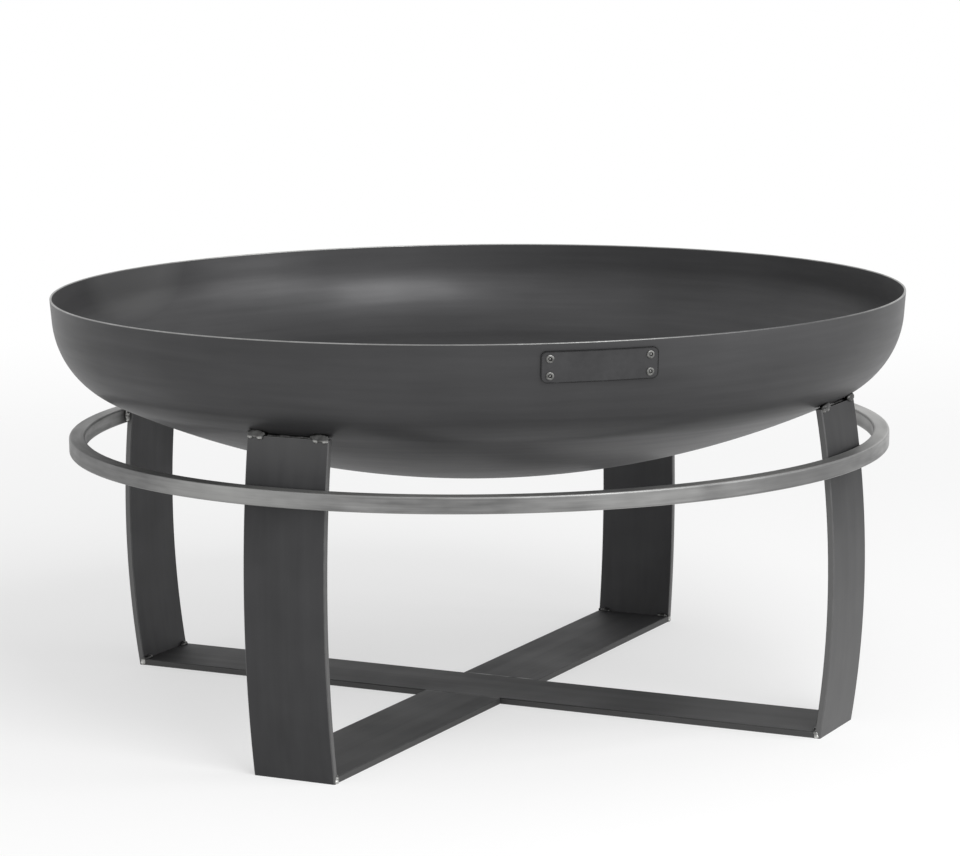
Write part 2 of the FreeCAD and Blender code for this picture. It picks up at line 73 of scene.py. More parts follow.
# Marks of making and use, and painted light and shade. A span is in millimetres, from where a mark
# starts to where it is full.
# How much paler a leg gets towards its foot, as a painted reflection of the bright floor, and a bar
# towards its outer end, where that is more than usual
PALER_ENDS = {"leg_front_right": 0.7, "base_bar_long": 0.35, "base_bar_front": 0.25}
LEG_PALER_SPAN = (230, 10)
BAR_PALER_SPAN = (60, 320)
# How much painted shade darkens a leg's top, where it does
TOP_SHADES = {"leg_front_right": 0.9}
TOP_SHADE_SPAN = (150, 300)
# How much paler a leg is just below its weld, and how far down
PALER_TOPS = {"leg_front_left": 0.35}
PALER_TOP_DEPTH = 32
# How much painted shade darkens the dish's bottom, with its span above the dish's lowest point
DISH_SHADE = 0.45
DISH_SHADE_SPAN = (74, 46)
# Where both faces of the dish carry a painted highlight, where its rim is duller, and where the ring
# carries a painted highlight: azimuth, degrees to each side of it, and how much
DISH_SHEENS = ((133, 10, 0.4),)
RIM_DULLS = ((-67, 25, 0.9), (-104, 18, 0.45))
TUBE_HIGHLIGHTS = ((-142, 15, 0.38), (-87, 9, 0.2))
# How far the painted highlight on the wall lies inside the rim's reach, in millimetres
DISH_SHEEN_INSET = 6
# Other marks of the ring: painted shade at its left end and on its top there, a darker stretch at
# its front right, and painted light at its right end: direction, span along it, and how much
TUBE_SHADED_LEFT = (LEFT, 330, 390, 0.55)
TUBE_DARKER_FRONT = (RING_FRONT_RIGHT, 366, 386, 0.6)
TUBE_LIT_RIGHT = (RIGHT, 320, 385, 0.6)
TUBE_SHADED_TOP = (LEFT, 150, 400, 0.9)
# Dish welds that were laid smaller, by leg and by its right or left side
SMALL_WELDS = {("leg_front_right", 1): 0.5}
# How much painted shade darkens all of the front right leg's beads, at that leg's top under the dish,
# where it does
SHADED_WELDS = {"bowl_tacks": 0.6}
SHADED_WELD_SPAN = (300, 310)
# Smoke on any bead's upper side, which on the dish welds also paints the shade under the dish:
# how far below the edge of the piece that it holds, how far up, and how much
SMOKE_AND_SHADE_DROPS = {"bowl_tacks": 1.6, "foot_tacks": 1.5, "ring_tacks": 0}
SMOKE_AND_SHADE_RISE = 2
SMOKE_AND_SHADE_SHARE = 0.9
# The cross's seam turns fainter from back to front over this span, down to a share
SEAM_SPAN = (-10, 10)
SEAM_SHARE = 0.1

# Most values of a noise lie in this span
NOISE_SPAN = (0.3, 0.7)
NOISE_DETAIL = 3.0
# Cosines of an edge's turn, from where its wear starts to where it is full, and the size of its rubs
EDGE_SPAN = (0.995, 0.93)
EDGE_RUB = 14
# Cosines from where a face starts to look along a direction to where it fully does
FACING_SPAN = (0.5, 0.9)
# Scale and rolling marks are grained at about 0.1 mm, drawn at 1.6 mm so that they show
GRAIN_SIZE = 1.6
GRAIN_DEPTH = 0.1
# A wiped film of oil is nearly smooth
OIL_ROUGHNESS = 0.22
# How far patches of a pattern are stretched along each axis
EVEN = (1, 1, 1)
UP_THE_LEG = (1, 1, 40)
ALONG_THE_BAR = (40, 1, 1)
ROUND_THE_RING = (150, 150, 1)
ROUND_THE_DISH = (12, 12, 1)
SMEARED = (8, 8, 1)

# A point of a section that is closer to the axis than this, in metres, lies on it
ON_AXIS = 1e-9
# Faces along the dish's section: its bottom, its knuckle, its flange and each half of its lip
CROWN_STEPS = 40
KNUCKLE_STEPS = 28
FLANGE_STEPS = 4
LIP_STEPS = 6
# Faces round a corner of the tube, and points along its sides as shares of them
TUBE_CORNER_STEPS = 5
TUBE_SIDE_SHARES = (0.04, 0.25, 0.5, 0.75, 0.96)
# Least radius of the tube's corners, in millimetres
TUBE_LEAST_CORNER = 0.5
# The dome of a rivet's head: degrees between its points, their number, and its edge's share of it
DOME_STEP = 10
DOME_POINTS = 8
DOME_EDGE = 0.35
# Drops of an upright foot bead: share of its half width, and height in millimetres
FOOT_DROPS = ((1.0, 2.0), (0.85, 4.6), (0.6, 6.6))
# Such a drop's half sizes outwards, sideways and upwards, as shares of the first
FOOT_DROP_SHAPE = (1, 0.5, 0.75)
# Corners of a weld's drop that lie closer than this, in millimetres, are one
SAME_PLACE = 0.01
# How much a bead is smoothed before and after its ripples are raised
FIRST_SMOOTHING = 0.5
LAST_SMOOTHING = 0.3
# Least height of a bead above the floor, in millimetres
FLOOR_GAP = 0.1
FLOOR_SIDES = 96
# Share of the floor's reach at which it has faded
FLOOR_FADED = 0.95


def linear(code):
    """An sRGB hex colour as linear red, green, blue and alpha."""
    channels = [int(code[n : n + 2], 16) / 255 for n in (1, 3, 5)]
    return [c / 12.92 if c <= 0.04045 else ((c + 0.055) / 1.055) ** 2.4 for c in channels] + [1.0]


def colour(name, description, code):
    """A colour that a user would change, written as sRGB hex."""
    return FloatVectorProperty(
        name=name,
        description=description,
        default=linear(code),
        size=4,
        min=0,
        max=1,
        subtype="COLOR",
    )


def number(name, description, size, unit="NONE"):
    """A number that a user would change."""
    return FloatProperty(name=name, description=description, default=size, unit=unit)


def length(name, description, size):
    """A length that a user would change, written in millimetres."""
    return number(name, description, size * MM, "LENGTH")


def angle(name, description, size):
    """An angle that a user would change, written in degrees."""
    return FloatProperty(
        name=name, description=description, default=math.radians(size), subtype="ANGLE"
    )


class DishSettings(PropertyGroup):
    """Sizes of the pressed dish. Its rim comes from the frame."""

    sheet: length("Sheet", "Thickness of the pressed sheet", 2)
    flange_height: length("Flange height", "Straight stretch below the rim", 22)
    flange_lean: angle("Flange lean", "How far the flange leans out from upright", 4.5)
    knuckle_radius: length("Knuckle radius", "Outer radius of the tight bend", 83)
    crown_radius: length("Crown radius", "Outer radius of the wide bottom", 820)
    lip_round: length("Lip round", "Radius ground on both edges of the rim", 0.8)
    steps: IntProperty(name="Steps", description="Faces round the dish", default=288, min=48)


class RingSettings(PropertyGroup):
    """Sizes of the square tube. The ring's reach and height come from the frame."""

    side: length("Side", "Side of the square tube", 15)
    wall: length("Wall", "Thickness of the tube's wall", 1.5)
    corner: length("Corner", "Outer radius of the tube's corners", 2)
    dip: length("Dip", "How far rolling pressed the inner side in", 0.7)
    steps: IntProperty(name="Steps", description="Faces round the ring", default=288, min=48)


class RivetSettings(PropertyGroup):
    """Places and sizes of the blind rivets."""

    azimuth: angle("Azimuth", "Where the middle of the badge plate is", -93.45)
    span: length("Span", "Distance between the two columns", 87)
    drop: length("Drop", "Upper row below the rim", 13.05)
    rise: length("Rise", "Distance between the two rows", 14.5)
    plate: length("Plate", "Thickness of the badge plate under the heads", 1.5)
    head: length("Head", "Diameter of the head", 7)
    head_height: length("Head height", "Height of the head above the plate", 1.2)
    recess: length("Recess", "Diameter of the dished hole in the head", 3.4)
    recess_depth: length("Recess depth", "Depth of the dished hole", 0.8)
    grip: length("Grip", "Plate and sheet that the rivet holds", 4.042)
    shank: length("Shank", "Diameter of the shank", 4)
    bulb: length("Bulb", "Diameter of the bulb behind the sheet", 6)
    bulb_length: length("Bulb length", "Length of the bulb", 3)
    mandrel: length("Mandrel", "Diameter of the broken mandrel", 2.2)
    mandrel_head: length("Mandrel head", "Diameter of the mandrel's own head", 3.4)
    mandrel_head_length: length("Mandrel head length", "Length of the mandrel's own head", 1.4)
    steps: IntProperty(name="Steps", description="Faces round a rivet", default=40, min=12)


class WeldSettings(PropertyGroup):
    """Sizes of the weld beads."""

    voxel: length("Voxel", "Size of the cells that a bead is remeshed to", 0.45)
    ripple_pitch: length("Ripple pitch", "Distance between the ripples of a bead", 3.4)
    ripple_depth: length("Ripple depth", "How far the ripples stand out", 0.3)
    lump_size: length("Lump size", "Size of the uneven lumps of a bead", 6.5)
    lump_depth: length("Lump depth", "How far the lumps stand out", 0.9)
    flat_width: length("Flat width", "Width of the flat bar of legs and cross", 80)
    flat_thickness: length("Flat thickness", "Thickness of the flat bar", 6)
    top_reach: length("Top reach", "Outer face of the legs' tops from the axis", 361)
    end_drop: length("End drop", "Radius of the drops at both ends of a dish weld", 3.1)
    end_drop_spread: length("End drop spread", "Distance between those two drops", 9)
    root_bead: length("Root bead", "Radius of the beads behind the legs' tops", 2)
    root_length: length("Root length", "Length of those beads", 76)
    most_run: length("Most run", "How far from a leg's middle a bead may reach", 41.8)
    flatness: number("Flatness", "How much a bead is pressed to a leg's face", 0.3)
    corner_bead: length("Corner bead", "Half width of the beads at the bars' corners", 2.6)


class FinishSettings(PropertyGroup):
    """Colours of the steels."""

    leg_dark: colour("Leg scale, dark", "Thick scale on the legs", "#3b3b3c")
    leg_light: colour("Leg scale, light", "Thin scale on the legs", "#464647")
    # Painted shade at a leg's top and at the dish's bottom
    painted_shade: colour("Leg crust", "Thickest scale at the top of a leg", "#2c2c2d")
    # Also the colour of a leg's painted floor reflection, the dish's painted highlight, and paler ends
    # and tops
    pale_side_and_sheen: colour("Leg side", "Narrow rolled sides of the legs", "#686868")
    bar_dark: colour("Bar scale, dark", "Thick scale on the floor bars", "#363637")
    bar_light: colour("Bar scale, light", "Thin scale on the floor bars", "#464647")
    bar_side: colour("Bar side", "Narrow rolled sides of the floor bars", "#525252")
    sheet_dark: colour("Dish, dark", "Darker clouds of the dish", "#3c3c3d")
    sheet_light: colour("Dish, light", "Lighter clouds of the dish", "#484849")
    rubbed: colour("Rubbed edge", "Steel where the scale is rubbed off", "#7d7d7c")
    rim_bright: colour("Rim", "Ground rim of the dish", "#9c9c9b")
    # Also painted shade at the ring's left end, and its darker stretch at the front right
    tube_stain_and_shade: colour("Tube, stained", "Stains on the drawn tube", "#5e5e5e")
    tube_light: colour("Tube, clean", "Clean drawn tube", "#979796")
    # Also painted light at the ring's right end and painted highlights in front
    tube_wiped_and_lit: colour("Tube, wiped", "Streaks wiped along the tube's top", "#b8b8b6")
    # Painted shade on the ring's top at its left end
    tube_shade: colour("Tube, smoked", "Smoke on the tube at one side", "#484848")
    weld: colour("Weld metal", "Weld beads as they cooled", "#dededb")
    weld_soot: colour("Weld hollows", "Smoke in the hollows of a bead", "#404040")
    # Also painted shade under the dish, on the dish welds and the beads behind the legs' tops
    weld_smoke_and_shade: colour("Weld smoke", "Smoke on the upper side of a bead", "#3a3a3a")
    rivet: colour("Rivet", "Zinc-plated rivet heads", "#868684")
    rivet_dull: colour("Rivet, dull", "Dulled spots of the zinc", "#4e4e4d")
    # Painted shade in the hole round the broken mandrel
    rivet_hole_shade: colour("Rivet hole", "Oiled hole round the broken mandrel", "#242424")
    plate_dark: colour("Badge plate, dark", "Thick scale on the badge plate", "#3c3c3d")
    plate_light: colour("Badge plate, light", "Thin scale on the badge plate", "#474748")
    # Burnt cut sides of the plate, and a painted shadow line round its outline
    plate_edge_and_shadow: colour("Badge plate edge", "Burnt edge of the cut plate", "#0e0e0e")


class StageSettings(PropertyGroup):
    """Where the camera stands, and the light."""

    camera_azimuth: angle("Camera azimuth", "Turn of the camera round the dish", -18.186)
    camera_distance: length("Camera distance", "Level distance from the dish's middle", 3156.8)
    camera_height: length("Camera height", "Height of the camera above the floor", 758)
    camera_pan: angle("Camera pan", "How far the camera looks past the middle", -0.0153)
    camera_tilt: angle("Camera tilt", "How far the camera looks down", 9.05)
    camera_roll: angle("Camera roll", "Turn of the camera about its own axis", -0.584)
    camera_lens: number("Camera lens", "Focal length in mm on a 36 mm wide sensor", 126.6, "CAMERA")
    floor_radius: length("Floor radius", "Reach of the floor", 3000)
    floor_clear: length("Floor clear", "Where the floor starts to fade into the backdrop", 700)
    floor: colour("Floor", "Pale paper floor", "#f6f6f6")
    floor_lift: number("Floor lift", "Share of plain white that the floor shows where it is seen", 0.55)
    backdrop: colour("Backdrop", "White backdrop", "#ffffff")
    sky_strength: number("Soft light", "Light from all round", 0.58)
    key_azimuth: angle("Key azimuth", "Turn of the front lamp from straight in front", 10)
    key_height: angle("Key height", "How far above level the front lamp stands", 45)
    key_power: number("Key power", "Power of the front lamp", 68, "POWER")
    side_azimuth: angle("Side azimuth", "Turn of the side lamp from straight in front", 55)
    side_height: angle("Side height", "How far above level the side lamp stands", 22)
    side_power: number("Side power", "Power of the side lamp", 42, "POWER")
    lamp_distance: length("Lamp distance", "How far away both lamps stand", 3500)
    lamp_size: length("Lamp size", "Side of both square lamps", 1800)


def add_node(tree, kind, inputs=None, **settings):
    """Add a node, set its properties, and set or link its inputs."""
    node = tree.nodes.new(kind)
    for name, value in settings.items():
        setattr(node, name, value)
    for key, value in (inputs or {}).items():
        if isinstance(value, bpy.types.NodeSocket):
            tree.links.new(value, node.inputs[key])
        else:
            node.inputs[key].default_value = value
    return node


def patches(tree, layers, turn=0.0, where=None):
    """A tone from 0 to 1. Each layer adds patches of a size in millimetres, stretched, by a share."""
    where = where or add_node(tree, "ShaderNodeTexCoord").outputs["Object"]
    turned = add_node(tree, "ShaderNodeMapping", {"Vector": where, "Rotation": (0, 0, -turn)})
    tone = None
    for size, stretch, share in layers:
        scale = [1 / (size * MM * factor) for factor in stretch]
        placed = add_node(tree, "ShaderNodeMapping", {"Vector": turned.outputs[0], "Scale": scale})
        noise_at = {"Vector": placed.outputs[0], "Scale": 1.0, "Detail": NOISE_DETAIL}
        speckle = add_node(tree, "ShaderNodeTexNoise", noise_at).outputs[0]
        start, end = NOISE_SPAN
        limits = {"Value": speckle, "From Min": start, "From Max": end, "To Max": share}
        layer = add_node(tree, "ShaderNodeMapRange", limits).outputs[0]
        if tone:
            layer = add_node(tree, "ShaderNodeMath", {0: tone, 1: layer}, operation="ADD").outputs[0]
        tone = layer
    return tone


def round_the_axis(tree):
    """Coordinates whose third axis counts upwards and outwards, so that lines run round a ring."""
    where = add_node(tree, "ShaderNodeTexCoord").outputs["Object"]
    parts = add_node(tree, "ShaderNodeSeparateXYZ", {0: where})
    flat = add_node(tree, "ShaderNodeVectorMath", {0: where, 1: (1, 1, 0)}, operation="MULTIPLY")
    reach = add_node(tree, "ShaderNodeVectorMath", {0: flat.outputs[0]}, operation="LENGTH")
    count = add_node(
        tree, "ShaderNodeMath", {0: reach.outputs["Value"], 1: parts.outputs["Z"]}, operation="ADD"
    )
    spot = {"X": parts.outputs["X"], "Y": parts.outputs["Y"], "Z": count.outputs[0]}
    return add_node(tree, "ShaderNodeCombineXYZ", spot).outputs[0]


def edge_wear_and_shadow(tree, reach, most):
    """A mask along a piece's edges, as wide as reach, rubbed unevenly up to most."""
    rounded = add_node(tree, "ShaderNodeBevel", {"Radius": reach * MM}, samples=4).outputs[0]
    plain = add_node(tree, "ShaderNodeNewGeometry").outputs["Normal"]
    facing = add_node(tree, "ShaderNodeVectorMath", {0: rounded, 1: plain}, operation="DOT_PRODUCT")
    start, end = EDGE_SPAN
    limits = {"Value": facing.outputs["Value"], "From Min": start, "From Max": end}
    edge = add_node(tree, "ShaderNodeMapRange", limits).outputs[0]
    rubs = patches(tree, [(EDGE_RUB, EVEN, most)])
    return add_node(tree, "ShaderNodeMath", {0: edge, 1: rubs}, operation="MULTIPLY").outputs[0]


def facing_sides(tree, direction):
    """A mask on the faces that look along a direction or against it."""
    normal = add_node(tree, "ShaderNodeNewGeometry").outputs["Normal"]
    facing = add_node(tree, "ShaderNodeVectorMath", {0: normal, 1: direction}, operation="DOT_PRODUCT")
    size = add_node(tree, "ShaderNodeMath", {0: facing.outputs["Value"]}, operation="ABSOLUTE")
    start, end = FACING_SPAN
    limits = {"Value": size.outputs[0], "From Min": start, "From Max": end}
    return add_node(tree, "ShaderNodeMapRange", limits).outputs[0]


def towards(tree, direction, start, end, most):
    """A mask that grows along a direction, from nothing at start to most at end, in millimetres."""
    where = add_node(tree, "ShaderNodeTexCoord").outputs["Object"]
    run = add_node(tree, "ShaderNodeVectorMath", {0: where, 1: direction}, operation="DOT_PRODUCT")
    span = {"From Min": start * MM, "From Max": end * MM}
    limits = {"Value": run.outputs["Value"], "To Max": most, **span}
    return add_node(tree, "ShaderNodeMapRange", limits).outputs[0]


def level(azimuth):
    """The level direction of an azimuth in radians."""
    return (math.cos(azimuth), math.sin(azimuth), 0)


def about(azimuth, spread, most, reach):
    """A mask round an azimuth, fading to nothing at spread to each side, at a reach from the axis."""
    outward = level(math.radians(azimuth))
    start = reach * math.cos(math.radians(spread))
    return lambda tree: towards(tree, outward, start / MM, reach / MM, most)


def steel(
    name, tones, layers, roughness, metallic, turn=0.0, where=None, grain=0.0, oil=0.0, covers=()
):
    """A steel surface. Patches shift its tone and roughness, and each cover hides it by a mask."""
    material = bpy.data.materials.new(name)
    material.use_nodes = True
    tree = material.node_tree
    tree.nodes.clear()
    tone = patches(tree, layers, turn, where(tree) if where else None)
    mix = add_node(tree, "ShaderNodeMix", {0: tone, 6: tones[0], 7: tones[1]}, data_type="RGBA")
    for mask, shown in covers:
        ends = {0: mask(tree), 6: mix.outputs[2], 7: shown}
        mix = add_node(tree, "ShaderNodeMix", ends, data_type="RGBA")
    limits = {"Value": tone, "To Min": roughness[0], "To Max": roughness[1]}
    dullness = add_node(tree, "ShaderNodeMapRange", limits)
    inputs = {
        "Base Color": mix.outputs[2],
        "Metallic": metallic,
        "Roughness": dullness.outputs[0],
        "Coat Weight": oil,
        "Coat Roughness": OIL_ROUGHNESS,
    }
    if grain:
        height = patches(tree, [(GRAIN_SIZE, EVEN, 1.0)])
        bump = {"Height": height, "Strength": grain, "Distance": GRAIN_DEPTH * MM}
        inputs["Normal"] = add_node(tree, "ShaderNodeBump", bump).outputs[0]
    shader = add_node(tree, "ShaderNodeBsdfPrincipled", inputs)
    add_node(tree, "ShaderNodeOutputMaterial", {"Surface": shader.outputs[0]})
    return material


def leg_steel(finish, leg):
    """Hot-rolled flat bar with its scale on: dull dark grey, streaked upwards, paler on its sides;
    painted shade darkens a leg's top and a painted reflection of the floor pales its foot, where given.
    """
    paler_end, shade, paler_top = PALER_ENDS.get(leg, 0.0), TOP_SHADES.get(leg, 0.0), PALER_TOPS.get(leg, 0.0)
    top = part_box(leg)[1].z / MM
    azimuth = math.radians(LEG_AZIMUTHS[leg])
    across = level(azimuth + QUARTER_TURN)
    return steel(
        f"hot_rolled_{leg}_steel",
        (finish.leg_dark, finish.leg_light),
        # Roll marks are a few tenths of a millimetre wide, drawn at 11 mm so that they show
        [(80, EVEN, 0.65), (11, UP_THE_LEG, 0.35)],
        roughness=(0.58, 0.48),
        metallic=0.8,
        turn=azimuth,
        grain=0.2,
        covers=[
            # Painted shade at the leg's top, under the dish
            (lambda tree: towards(tree, UP, *TOP_SHADE_SPAN, shade), finish.painted_shade),
            # Painted reflection of the bright floor, paler towards the foot
            (lambda tree: towards(tree, UP, *LEG_PALER_SPAN, paler_end), finish.pale_side_and_sheen),
            (lambda tree: towards(tree, UP, top - PALER_TOP_DEPTH, top, paler_top), finish.pale_side_and_sheen),
            (lambda tree: facing_sides(tree, across), finish.pale_side_and_sheen),
            (lambda tree: edge_wear_and_shadow(tree, reach=1.0, most=0.6), finish.rubbed),
        ],
    )


def bar_steel(finish, bar):
    """Hot-rolled flat bar that lies on the floor: duller and darker, streaked along its length."""
    paler_end = PALER_ENDS.get(bar, 0.0)
    azimuth = math.radians(BAR_AZIMUTHS[bar])
    along, across = level(azimuth), level(azimuth + QUARTER_TURN)
    return steel(
        f"hot_rolled_{bar}_steel",
        (finish.bar_dark, finish.bar_light),
        # Roll marks are a few tenths of a millimetre wide, drawn at 11 mm so that they show
        [(80, EVEN, 0.6), (11, ALONG_THE_BAR, 0.4)],
        roughness=(0.68, 0.58),
        metallic=0.8,
        turn=azimuth,
        grain=0.3,
        covers=[
            (lambda tree: towards(tree, along, *BAR_PALER_SPAN, paler_end), finish.pale_side_and_sheen),
            (lambda tree: facing_sides(tree, across), finish.bar_side),
            (lambda tree: edge_wear_and_shadow(tree, reach=1.0, most=0.35), finish.rubbed),
        ],
    )


def pressed_sheet(finish):
    """Pressed steel sheet with its scale, wiped with oil: soft clouds and a sheen at its outline."""
    low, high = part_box("bowl")
    wall_reach = high.x - DISH_SHEEN_INSET * MM
    shade_start, shade_end = (-low.z / MM - height for height in DISH_SHADE_SPAN)
    return steel(
        "pressed_sheet_steel",
        (finish.sheet_dark, finish.sheet_light),
        # The clouds are large, and handling marks lie level round the dish
        [(140, EVEN, 0.6), (9, ROUND_THE_DISH, 0.4)],
        roughness=(0.56, 0.48),
        metallic=0.8,
        where=round_the_axis,
        grain=0.15,
        oil=0.16,
        # Painted shade darkens the bottom of the dish, and a painted highlight lightens its wall at the
        # back left
        covers=[
            (lambda tree: towards(tree, DOWN, shade_start, shade_end, DISH_SHADE), finish.painted_shade),
            *((about(*dish_sheen, wall_reach), finish.pale_side_and_sheen) for dish_sheen in DISH_SHEENS),
        ],
    )


def ground_rim(finish):
    """Sheared and deburred steel edge: bare metal, a bright thin line broken by grinding marks."""
    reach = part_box("bowl")[1].x
    return steel(
        "ground_edge_steel",
        (finish.rubbed, finish.rim_bright),
        [(22, EVEN, 0.6), (4, EVEN, 0.4)],
        roughness=(0.45, 0.32),
        metallic=1.0,
        covers=[(about(*dull, reach), finish.sheet_light) for dull in RIM_DULLS],
    )


def drawn_tube(finish):
    """Cold-drawn square tube, bare and wiped: silvery, with long fine lines round the ring, painted
    shade at its left end, painted light at its right end and painted highlights in front.
    """
    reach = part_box("ring")[1].x

    def on_top(tree, mask):
        """Keep a mask on the tube's level sides only."""
        top = facing_sides(tree, UP)
        return add_node(tree, "ShaderNodeMath", {0: mask, 1: top}, operation="MULTIPLY").outputs[0]

    return steel(
        "drawn_tube_steel",
        (finish.tube_stain_and_shade, finish.tube_light),
        # Drawing lines are under 0.1 mm wide, drawn at 1.5 mm so that they show between the stains
        [(55, EVEN, 0.4), (6, SMEARED, 0.4), (1.5, ROUND_THE_RING, 0.2)],
        roughness=(0.55, 0.4),
        metallic=0.9,
        where=round_the_axis,
        covers=[
            # Painted shade at the ring's left end
            (lambda tree: towards(tree, *TUBE_SHADED_LEFT), finish.tube_stain_and_shade),
            # Darker at the ring's front right
            (lambda tree: towards(tree, *TUBE_DARKER_FRONT), finish.tube_stain_and_shade),
            # Painted light at the ring's right end, and painted highlights in front
            (lambda tree: towards(tree, *TUBE_LIT_RIGHT), finish.tube_wiped_and_lit),
            *((about(*tube_highlight, reach), finish.tube_wiped_and_lit) for tube_highlight in TUBE_HIGHLIGHTS),
            (lambda tree: on_top(tree, patches(tree, [(25, SMEARED, 1.0)])), finish.tube_wiped_and_lit),
            # Painted shade on the ring's top at its left end
            (lambda tree: on_top(tree, towards(tree, *TUBE_SHADED_TOP)), finish.tube_shade),
        ],
    )


def weld_metal(finish, node, smoke_and_shade_start):
    """Weld metal as it cooled: silvery and rippled. Smoke lies in its hollows and on its upper side,
    which on the dish welds is also painted shade under the dish.
    """
    smoke_and_shade = (smoke_and_shade_start, smoke_and_shade_start + SMOKE_AND_SHADE_RISE, SMOKE_AND_SHADE_SHARE)
    shaded = SHADED_WELDS.get(node, 0.0)
    front_right = level(math.radians(LEG_AZIMUTHS["leg_front_right"]))
    return steel(
        f"smoked_{node}_metal",
        (finish.weld_soot, finish.weld),
        [(12, EVEN, 0.4), (4, EVEN, 0.6)],
        roughness=(0.5, 0.3),
        metallic=1.0,
        covers=[
            # Smoke, and painted shade under the dish on the dish welds
            (lambda tree: towards(tree, UP, *smoke_and_shade), finish.weld_smoke_and_shade),
            # Painted shade on the front right leg's beads
            (lambda tree: towards(tree, front_right, *SHADED_WELD_SPAN, shaded), finish.weld_smoke_and_shade),
        ],
    )


def ground_weld(finish):
    """Weld ground flush with the bar: a faint pale line with the scale gone, fainter in front."""

    def at_the_back(tree):
        """Grinding marks that show less in front."""
        where = add_node(tree, "ShaderNodeTexCoord").outputs["Object"]
        depth = add_node(tree, "ShaderNodeSeparateXYZ", {0: where}).outputs["Y"]
        start, end = (place * MM for place in SEAM_SPAN)
        limits = {"Value": depth, "From Min": start, "From Max": end, "To Min": SEAM_SHARE}
        share = add_node(tree, "ShaderNodeMapRange", limits).outputs[0]
        marks = patches(tree, [(14, EVEN, 1.0)])
        return add_node(tree, "ShaderNodeMath", {0: share, 1: marks}, operation="MULTIPLY").outputs[0]

    return steel(
        "ground_weld_steel",
        (finish.bar_dark, finish.bar_light),
        [(14, EVEN, 1.0)],
        roughness=(0.6, 0.45),
        metallic=0.9,
        covers=[(at_the_back, finish.rubbed)],
    )


def zinc_plate(finish):
    """Zinc-plated rivet steel: pale grey, softly shining, dulled in spots."""
    return steel(
        "zinc_plated_steel",
        (finish.rivet_dull, finish.rivet),
        [(2.5, EVEN, 1.0)],
        roughness=(0.5, 0.36),
        metallic=1.0,
    )


def hole_in_shade(finish):
    """Hole left by a drawn mandrel, painted nearly black as the shade in its recess, with dull spots."""
    return steel(
        "oiled_hole_steel",
        (finish.rivet_hole_shade, finish.plate_dark),
        [(1.5, EVEN, 0.6)],
        roughness=(0.5, 0.4),
        metallic=0.8,
    )


def cut_plate(finish, azimuth):
    """Laser-cut plate with its scale on: even dark grey, with burnt cut sides and a painted shadow line
    that outline it.
    """
    outward = level(azimuth)

    def burnt_sides_and_shadow(tree):
        """A mask on all but the plate's two faces."""
        face = facing_sides(tree, outward)
        return add_node(tree, "ShaderNodeMath", {0: 1.0, 1: face}, operation="SUBTRACT").outputs[0]

    return steel(
        "laser_cut_plate_steel",
        (finish.plate_dark, finish.plate_light),
        [(30, EVEN, 0.7), (5, EVEN, 0.3)],
        roughness=(0.52, 0.44),
        metallic=0.8,
        grain=0.15,
        covers=[
            # Burnt cut sides, darkened also as painted shadow, and a painted shadow line along the
            # outline
            (burnt_sides_and_shadow, finish.plate_edge_and_shadow),
            (lambda tree: edge_wear_and_shadow(tree, reach=2.0, most=9.0), finish.plate_edge_and_shadow),
        ],
    )


def where_seen(tree):
    """1 for the rays that see the stage plainly or in a mirror."""
    path = add_node(tree, "ShaderNodeLightPath")
    seen = path.outputs["Is Camera Ray"]
    for ray in ("Is Glossy Ray", "Is Transmission Ray"):
        either = add_node(tree, "ShaderNodeMath", {0: seen, 1: path.outputs[ray]}, operation="MAXIMUM")
        seen = either.outputs[0]
    return seen


def paper_floor(stage):
    """Pale paper floor: matt, keeps the shadow, and fades into the backdrop further out."""
    material = bpy.data.materials.new("matt_paper")
    material.use_nodes = True
    tree = material.node_tree
    tree.nodes.clear()
    paper = add_node(tree, "ShaderNodeBsdfDiffuse", {"Color": stage.floor})
    white = add_node(tree, "ShaderNodeEmission", {"Color": stage.backdrop, "Strength": 1.0})
    share = {0: where_seen(tree), 1: stage.floor_lift}
    lift = add_node(tree, "ShaderNodeMath", share, operation="MULTIPLY").outputs[0]
    lit = add_node(tree, "ShaderNodeMixShader", {0: lift, 1: paper.outputs[0], 2: white.outputs[0]})
    where = add_node(tree, "ShaderNodeTexCoord").outputs["Object"]
    reach = add_node(tree, "ShaderNodeVectorMath", {0: where}, operation="LENGTH").outputs["Value"]
    faded = stage.floor_radius * FLOOR_FADED
    limits = {"Value": reach, "From Min": stage.floor_clear, "From Max": faded}
    fade = add_node(tree, "ShaderNodeMapRange", limits, interpolation_type="SMOOTHSTEP").outputs[0]
    clear = add_node(tree, "ShaderNodeBsdfTransparent")
    mixed = add_node(tree, "ShaderNodeMixShader", {0: fade, 1: lit.outputs[0], 2: clear.outputs[0]})
    add_node(tree, "ShaderNodeOutputMaterial", {"Surface": mixed.outputs[0]})
    return material


def add_piece(name, shape, materials, nodes):
    """Turn a bmesh into a smooth piece of the object that stands for CAD nodes."""
    mesh = bpy.data.meshes.new(name)
    shape.to_mesh(mesh)
    shape.free()
    for material in materials:
        mesh.materials.append(material)
    mesh.shade_smooth()
    piece = bpy.data.objects.new(name, mesh)
    bpy.context.scene.collection.objects.link(piece)
    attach(piece, BODY)
    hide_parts(*nodes)
    return piece


def dress(node, material):
    """Give a CAD node a finish."""
    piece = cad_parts[node]
    if not piece.material_slots:
        raise RuntimeError(f"{node} has no material slot")
    for slot in piece.material_slots:
        slot.material = material


def arc(centre, radius, start, end, steps):
    """Points of an arc in the section plane, angles from straight down towards the rim."""
    angles = [start + (end - start) * step / steps for step in range(steps + 1)]
    return [(centre[0] + radius * math.sin(a), centre[1] - radius * math.cos(a)) for a in angles]


